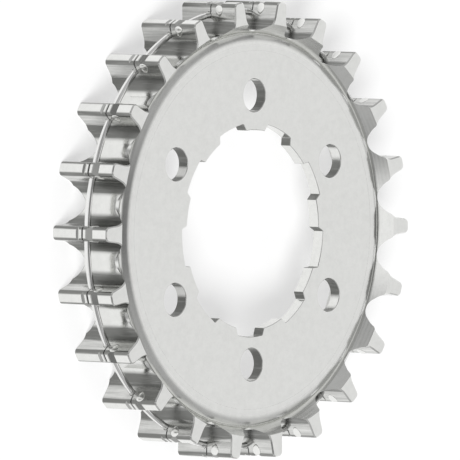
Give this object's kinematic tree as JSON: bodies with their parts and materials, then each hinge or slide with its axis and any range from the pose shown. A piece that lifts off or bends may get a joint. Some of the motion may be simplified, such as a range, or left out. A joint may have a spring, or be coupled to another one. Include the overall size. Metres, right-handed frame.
{
  "type": "belt drive sprocket",
  "caption": "Flat toothed sprocket for a bicycle belt drive, with a splined bore, lightening holes, a dished rim and a wire guide ring across the teeth.",
  "frame": {"origin": "on the axis, at the height of the rear tooth ends that the sprocket lies on", "axes": "+Z along the axis towards the front face, +Y through the middle of one bore tab"},
  "size_m": [0.0758, 0.0754, 0.0119],
  "materials": {
    "machined_steel": "satin turned steel",
    "ring_wire": "bright drawn steel wire"
  },
  "bodies": {
    "root": {"sprocket_body": "machined_steel", "guide_ring": "ring_wire"}
  },
  "joints": []
}
